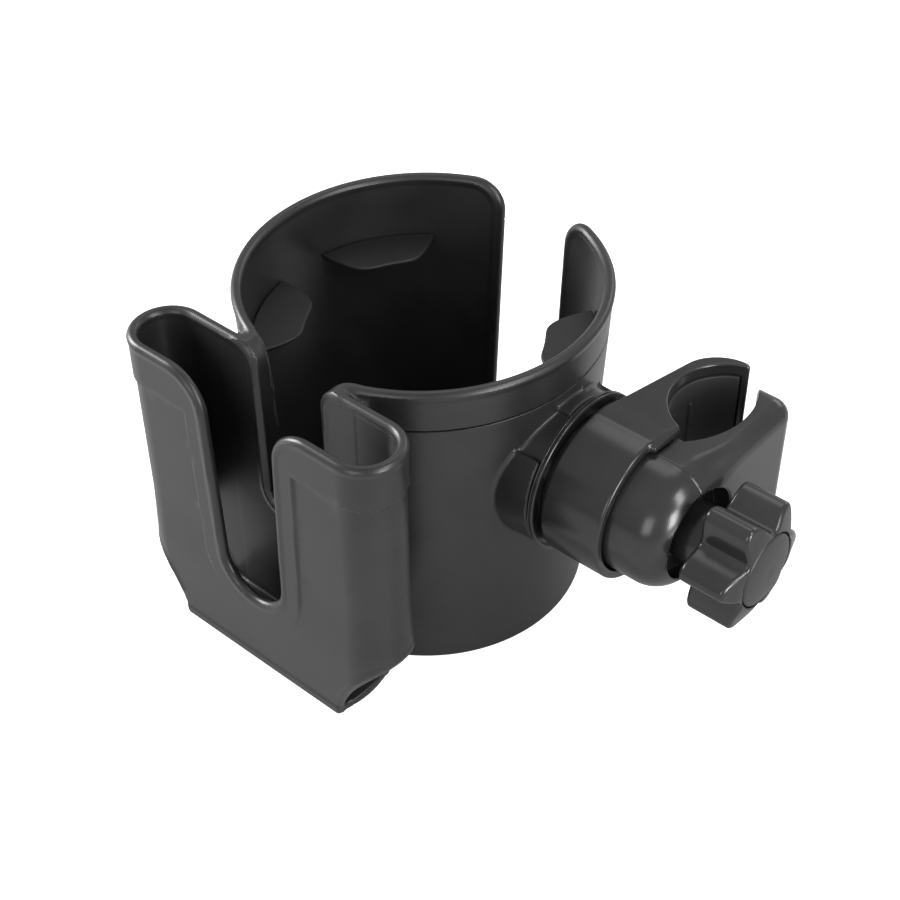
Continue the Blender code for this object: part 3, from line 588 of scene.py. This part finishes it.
def fin_field(angle):
    """A soft D-shaped leaf on the cup's inner wall, a little thinner at its edge."""
    cos = math.cos(angle)
    sin = math.sin(angle)
    root = cup_radius(FIN_Z) - CUP_WALL - FIN_WALL_GAP

    def field(x, y, z):
        u = x * cos + y * sin
        v = y * cos - x * sin
        along = np.abs(np.arctan2(v, u) / FIN_HALF_ANGLE)
        depth = np.maximum(root - np.sqrt(u * u + v * v), -1.0)
        deep = np.maximum(depth, 0.01) / FIN_REACH
        level = deep ** FIN_ROUND + along ** FIN_SQUARE - 1.0
        slope_in = FIN_ROUND / FIN_REACH * deep ** (FIN_ROUND - 1.0)
        slope_along = FIN_SQUARE / FIN_HALF_LENGTH * along ** (FIN_SQUARE - 1.0)
        grade = np.sqrt(slope_in ** 2 + slope_along ** 2)
        outline = np.maximum(level / np.maximum(grade, 0.06), -depth)
        middle = FIN_Z + FIN_RISE * deep ** 1.25
        thick = FIN_HALF_THICKNESS - FIN_THINNING * np.clip(deep, 0.0, 1.0)
        return round_both(outline, np.abs(z - middle) - thick, 0.42)
    return field


def lathe(name, profile):
    """Turns a closed (radius, x) profile about the swivel axis."""
    segments = 192
    points = []
    faces = []
    n = len(profile)
    for i in range(segments):
        a = 2 * math.pi * i / segments
        for radius, x in profile:
            points.append((x, radius * math.cos(a), AXIS + radius * math.sin(a)))
    for i in range(segments):
        j = (i + 1) % segments
        for k in range(n):
            m = (k + 1) % n
            faces.append((i * n + k, i * n + m, j * n + m, j * n + k))
    obj = object_from(name, np.array(points), faces)
    obj.data.shade_smooth()
    obj.data.set_sharp_from_angle(angle=math.radians(32))
    return obj


def rounded(profile, radius):
    """Rounds every corner of a closed (radius, x) profile."""
    steps = 4
    out = []
    n = len(profile)
    for i in range(n):
        p = Vector(profile[i])
        a = Vector(profile[i - 1]) - p
        b = Vector(profile[(i + 1) % n]) - p
        cut = min(radius, a.length * 0.45, b.length * 0.45)
        start = p + a.normalized() * cut
        end = p + b.normalized() * cut
        for s in range(steps + 1):
            t = s / steps
            out.append(tuple((1 - t) ** 2 * start + 2 * t * (1 - t) * p + t * t * end))
    return out


# ---------------------------------------------------------------- materials

FLOW_SWING = 0.10          # how far the flow marks move the roughness
RUB_SWING = 0.06           # and the rubbed spots
DUST_COLOUR = (0.22, 0.22, 0.22, 1)
DUST_RADIUS = 0.045        # of a dust speck, as a share of its cell
DUST_LEVEL = 0.60          # specks show where the patch noise is above this
BRUSH_SWING = 0.2          # how far the brushing moves the metal's roughness
GRAIN_DEPTH = 0.00002
WAVE_DEPTH = 0.0002


def add(nodes, kind, **values):
    node = nodes.new(kind)
    for key, value in values.items():
        if hasattr(node, key):
            setattr(node, key, value)
        else:
            node.inputs[key].default_value = value
    return node


def new_material(name):
    material = bpy.data.materials.new(name)
    material.use_nodes = True
    return material, material.node_tree.nodes, material.node_tree.links


def noise(nodes, links, vector, **values):
    node = add(nodes, "ShaderNodeTexNoise", **values)
    links.new(vector, node.inputs["Vector"])
    return node.outputs["Fac"]


def calculate(nodes, links, operation, *values, clamp=False):
    """A Math node whose inputs are sockets or numbers."""
    node = add(nodes, "ShaderNodeMath", operation=operation, use_clamp=clamp)
    for socket, value in zip(node.inputs, values):
        if isinstance(value, float):
            socket.default_value = value
        else:
            links.new(value, socket)
    return node.outputs[0]


def ramp(nodes, links, value, colour, low, high, low_at=0.0, high_at=1.0):
    """A colour that runs from low to high times the given one."""
    node = add(nodes, "ShaderNodeValToRGB")
    first, last = node.color_ramp.elements
    first.position = low_at
    first.color = (*[c * low for c in colour], 1)
    last.position = high_at
    last.color = (*[c * high for c in colour], 1)
    links.new(value, node.inputs["Fac"])
    return node.outputs["Color"]


def bump(nodes, links, height, strength, distance, normal=None):
    node = add(nodes, "ShaderNodeBump", Strength=strength, Distance=distance)
    links.new(height, node.inputs["Height"])
    if normal:
        links.new(normal, node.inputs["Normal"])
    return node.outputs["Normal"]


def plastic(name, colour, roughness, grain, grain_size=0.35, dust=0.0):
    """Moulded black plastic: fine spark-eroded grain, flow marks in the gloss, faint dust, rubbed spots."""
    material, nodes, links = new_material(name)
    shader = nodes["Principled BSDF"]
    place = add(nodes, "ShaderNodeTexCoord").outputs["Object"]
    fine = noise(nodes, links, place, Scale=1.0 / (grain_size * MM), Detail=3.0, Roughness=0.55)
    broad = noise(nodes, links, place, Scale=45.0, Detail=2.0, Roughness=0.5, Distortion=0.6)
    patch = noise(nodes, links, place, Scale=420.0, Detail=4.0, Roughness=0.65)

    flow = calculate(nodes, links, "MULTIPLY_ADD", broad, FLOW_SWING, roughness - FLOW_SWING / 2)
    rubbed = calculate(nodes, links, "MULTIPLY_ADD", patch, RUB_SWING, flow)
    rough = calculate(nodes, links, "SUBTRACT", rubbed, RUB_SWING / 2, clamp=True)
    links.new(rough, shader.inputs["Roughness"])

    tint = ramp(nodes, links, broad, colour, 0.82, 1.22, 0.35, 0.70)
    speck = add(nodes, "ShaderNodeTexVoronoi", Scale=520.0, Randomness=1.0)
    links.new(place, speck.inputs["Vector"])
    near = calculate(nodes, links, "LESS_THAN", speck.outputs["Distance"], DUST_RADIUS)
    some = calculate(nodes, links, "GREATER_THAN", patch, DUST_LEVEL)
    both = calculate(nodes, links, "MULTIPLY", near, some)
    mix = add(nodes, "ShaderNodeMix", data_type="RGBA")
    links.new(calculate(nodes, links, "MULTIPLY", both, dust), mix.inputs["Factor"])
    links.new(tint, mix.inputs[6])
    mix.inputs[7].default_value = DUST_COLOUR
    links.new(mix.outputs[2], shader.inputs["Base Color"])

    grained = bump(nodes, links, fine, grain, GRAIN_DEPTH)
    links.new(bump(nodes, links, broad, 0.25, WAVE_DEPTH, grained), shader.inputs["Normal"])
    shader.inputs["IOR"].default_value = 1.5
    return material


def metal(name, colour, roughness):
    """Zinc plated steel: brushed, with cloudy bright patches."""
    material, nodes, links = new_material(name)
    shader = nodes["Principled BSDF"]
    shader.inputs["Metallic"].default_value = 1.0
    place = add(nodes, "ShaderNodeTexCoord").outputs["Object"]
    stretch = add(nodes, "ShaderNodeMapping")
    stretch.inputs["Scale"].default_value = (200.0, 3000.0, 3000.0)
    links.new(place, stretch.inputs["Vector"])
    lines = noise(nodes, links, stretch.outputs["Vector"], Scale=1.0, Detail=3.0)
    cloud = noise(nodes, links, place, Scale=300.0, Detail=3.0)
    links.new(ramp(nodes, links, cloud, colour, 0.75, 1.0), shader.inputs["Base Color"])
    dull = calculate(nodes, links, "MULTIPLY_ADD", lines, BRUSH_SWING, roughness - BRUSH_SWING / 2)
    links.new(dull, shader.inputs["Roughness"])
    links.new(bump(nodes, links, lines, 0.2, GRAIN_DEPTH), shader.inputs["Normal"])
    return material


def use(obj, material):
    obj.data.materials.clear()
    obj.data.materials.append(material)


# ---------------------------------------------------------------- stage

FLOOR_SIZE = 60.0          # half the floor's side, in metres, so that it ends near the horizon
FLOOR_GREY = (0.50, 0.50, 0.50)
WORLD_STRENGTH = 0.60
SOFTBOXES = (
    # name, place, target (metres), width, height, watts
    ("softbox_left", (-0.75, -0.30, 0.45), (0.0, 0.0, 0.05), 0.40, 0.50, 14.0),
    ("softbox_front", (0.25, -0.85, 0.35), (0.0, 0.0, 0.05), 0.40, 0.40, 1.8),
    ("softbox_right", (0.70, 0.05, 0.60), (0.05, 0.0, 0.06), 0.20, 0.40, 2.8),
    ("softbox_low", (0.80, -0.15, 0.22), (0.05, 0.0, 0.06), 0.20, 0.30, 3.8),
    ("softbox_back", (0.10, 0.85, 0.45), (0.0, 0.0, 0.06), 0.60, 0.30, 1.2),
    ("softbox_top", (-0.15, 0.35, 0.75), (0.0, 0.0, 0.06), 0.40, 0.30, 0.6))

CAMERA_AZIMUTH = math.radians(41.0)
CAMERA_ELEVATION = math.radians(41.3)
CAMERA_ROLL = math.radians(-0.48)
CAMERA_DISTANCE = 0.4255
CAMERA_LENS = 67.97
AIM_HEIGHT = 0.093         # the camera looks at the cup's mouth,
AIM_RIGHT = 0.0067         # moved by this much to its right
AIM_DOWN = 0.04304         # and down


def make_floor():
    """A pale floor. Its glow is seen by the camera only, and doesn't light the object."""
    size = FLOOR_SIZE
    mesh = bpy.data.meshes.new("floor")
    corners = [(-size, -size, 0), (size, -size, 0), (size, size, 0), (-size, size, 0)]
    mesh.from_pydata(corners, [], [(0, 1, 2, 3)])
    floor = bpy.data.objects.new("floor", mesh)
    bpy.context.scene.collection.objects.link(floor)
    floor.location.z = -0.0002
    material, nodes, links = new_material("pale_floor")
    shader = nodes["Principled BSDF"]
    shader.inputs["Roughness"].default_value = 0.9
    shader.inputs["Specular IOR Level"].default_value = 0.1
    shader.inputs["Emission Color"].default_value = (1, 1, 1, 1)
    seen = add(nodes, "ShaderNodeLightPath").outputs["Is Camera Ray"]
    links.new(seen, shader.inputs["Emission Strength"])
    place = add(nodes, "ShaderNodeTexCoord").outputs["Object"]
    cloud = noise(nodes, links, place, Scale=3.0, Detail=1.0)
    links.new(ramp(nodes, links, cloud, FLOOR_GREY, 0.96, 1.04), shader.inputs["Base Color"])
    floor.data.materials.append(material)


def make_lights():
    world = bpy.data.worlds.new("studio")
    bpy.context.scene.world = world
    world.use_nodes = True
    background = world.node_tree.nodes["Background"]
    background.inputs["Color"].default_value = (1.0, 1.0, 1.0, 1)
    background.inputs["Strength"].default_value = WORLD_STRENGTH
    for name, place, target, width, height, watts in SOFTBOXES:
        light = bpy.data.lights.new(name, "AREA")
        light.shape = "RECTANGLE"
        light.size = width
        light.size_y = height
        light.energy = watts
        obj = bpy.data.objects.new(name, light)
        bpy.context.scene.collection.objects.link(obj)
        obj.location = place
        obj.rotation_euler = (Vector(target) - Vector(place)).to_track_quat("-Z", "Y").to_euler()


def make_camera():
    sideways = math.cos(CAMERA_ELEVATION)
    back = Vector((math.sin(CAMERA_AZIMUTH) * sideways, -math.cos(CAMERA_AZIMUTH) * sideways,
                   math.sin(CAMERA_ELEVATION)))
    level = Vector((math.cos(CAMERA_AZIMUTH), math.sin(CAMERA_AZIMUTH), 0.0))
    above = back.cross(level)
    right = level * math.cos(CAMERA_ROLL) + above * math.sin(CAMERA_ROLL)
    up = above * math.cos(CAMERA_ROLL) - level * math.sin(CAMERA_ROLL)
    place = Vector((0, 0, AIM_HEIGHT)) + AIM_RIGHT * right - AIM_DOWN * up + CAMERA_DISTANCE * back
    camera = bpy.data.objects.new("camera", bpy.data.cameras.new("camera"))
    bpy.context.scene.collection.objects.link(camera)
    camera.data.sensor_width = 36.0
    camera.data.lens = CAMERA_LENS
    camera.data.clip_start = 0.01
    camera.matrix_world = Matrix((
        (right.x, up.x, back.x, place.x),
        (right.y, up.y, back.y, place.y),
        (right.z, up.z, back.z, place.z),
        (0, 0, 0, 1)))
    bpy.context.scene.camera = camera


# ---------------------------------------------------------------- the object

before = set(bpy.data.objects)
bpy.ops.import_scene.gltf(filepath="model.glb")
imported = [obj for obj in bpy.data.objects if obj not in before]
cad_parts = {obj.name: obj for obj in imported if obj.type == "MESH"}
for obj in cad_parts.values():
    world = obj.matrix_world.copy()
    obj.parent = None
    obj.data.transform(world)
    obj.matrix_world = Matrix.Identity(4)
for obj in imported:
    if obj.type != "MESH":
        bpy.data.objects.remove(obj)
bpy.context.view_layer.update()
coarse = 1.0

shell_plastic = plastic("satin_black", (0.0135, 0.0135, 0.0145), 0.36, grain=0.35, dust=0.5)
clamp_plastic = plastic("clamp_black", (0.0175, 0.0170, 0.0175), 0.22, grain=0.25, dust=0.4)
rubber = plastic("soft_rubber", (0.0150, 0.0150, 0.0160), 0.62, grain=0.8, grain_size=0.22)
bezel_plastic = plastic("bezel_black", (0.0140, 0.0140, 0.0150), 0.20, grain=0.15)
fin_rubber = plastic("fin_rubber", (0.0100, 0.0100, 0.0105), 0.55, grain=0.4, grain_size=0.3, dust=0.6)
zinc = metal("zinc_steel", (0.62, 0.62, 0.64), 0.32)


def stand_for(piece, body, node, material):
    """A piece that rides on a body in the place of a CAD node."""
    use(piece, material)
    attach(piece, body)
    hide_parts(node)


# Grid spacings: finer across the floor's and rim's edges and the fine line round the cup
cup_step = 0.62 * coarse
jaw_step = 0.38 * coarse
pad_step = 0.25 * coarse
knob_step = 0.3 * coarse
fin_level_step = 0.2 * coarse
cup_levels = levels_of([
    (-0.9, 4.0, 0.45 * coarse), (4.0, 76.4, 0.8 * coarse), (76.4, 78.4, 0.3), (78.4, 82.0, 0.7),
    (82.0, 83.6, 0.16 * coarse), (83.6, 90.5, 0.75 * coarse), (90.5, 95.3, 0.4 * coarse)])

cup = moulded("cup_shell", cup_field, even(-49.8, 52.2, cup_step), even(-69.0, 49.8, cup_step), cup_levels,
              190000)
stand_for(cup, "cup", "cup_and_pocket", shell_plastic)

fixed_jaw = moulded("fixed_jaw_shell", fixed_jaw_field, even(51.0, 74.2, jaw_step),
                    even(-21.5, 41.8, jaw_step), around(AXIS, 21.5, jaw_step), 110000)
stand_for(fixed_jaw, "clamp", "fixed_jaw", clamp_plastic)

fixed_pad = moulded("fixed_jaw_rubber", fixed_pad_field, even(59.5, 73.0, pad_step),
                    even(10.5, 40.0, pad_step), around(AXIS, 17.6, pad_step), 40000)
stand_for(fixed_pad, "clamp", "fixed_jaw_pad", rubber)

moving_jaw = moulded("moving_jaw_shell", moving_jaw_field, even(60.4, 88.8, jaw_step),
                     even(-18.8, 40.8, jaw_step), around(AXIS, 18.8, jaw_step), 110000)
stand_for(moving_jaw, "moving_jaw", "moving_jaw", clamp_plastic)

moving_pad = moulded("moving_jaw_rubber", moving_pad_field, even(77.0, 84.5, pad_step),
                     even(12.0, 36.0, pad_step), around(AXIS, 15.0, pad_step), 40000)
stand_for(moving_pad, "moving_jaw", "moving_jaw_pad", rubber)

knob = moulded("knob_grip", knob_field, even(83.2, 107.0, knob_step), around(0.0, 17.6, knob_step),
               around(AXIS, 17.6, knob_step), 90000)
stand_for(knob, "knob", "knob", clamp_plastic)

FIN_CENTRE = 37.0
FIN_GRID = 16.5
for number, degrees in enumerate((31, 149, 211, 329), 1):
    angle = math.radians(degrees)
    fin = moulded("soft_fin_%d" % number, fin_field(angle),
                  around(FIN_CENTRE * math.cos(angle), FIN_GRID, knob_step),
                  around(FIN_CENTRE * math.sin(angle), FIN_GRID, knob_step),
                  even(74.2, 77.9, fin_level_step), 16000)
    stand_for(fin, "fin_%d" % number, "grip_fin_%d" % number, fin_rubber)

# Turned pieces: closed (radius, x) profiles
bezel = lathe("bezel_ring", rounded([(16.8, 51.6), (18.1, 51.6), (18.1, 51.3), (21.2, 51.3), (21.5, 51.5),
                                     (21.5, 51.85), (21.05, 52.0), (21.05, 52.25), (21.5, 52.4),
                                     (21.5, 52.75), (21.2, 52.95), (20.7, 52.95), (20.4, 52.0),
                                     (16.8, 52.0)], 0.15))
stand_for(bezel, "cup", "swivel_bezel", bezel_plastic)

cap = lathe("knob_disc", rounded([(0.02, 104.3), (9.65, 104.3), (9.65, 105.75), (9.2, 106.1), (7.0, 106.42),
                                  (4.0, 106.66), (0.02, 106.8)], 0.5))
stand_for(cap, "knob", "knob_cap", shell_plastic)

# CAD nodes that show as they are
use(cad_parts["swivel_friction_ring"], rubber)
use(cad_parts["pivot_screw_cover"], shell_plastic)
for name in ("pivot_washer", "pivot_screw", "pivot_spring_washer", "pivot_nut", "clamp_screw", "clamp_nut",
             "retaining_clip", "thrust_washer"):
    use(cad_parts[name], zinc)

make_floor()
make_lights()
make_camera()

bpy.context.scene.view_settings.view_transform = "Standard"
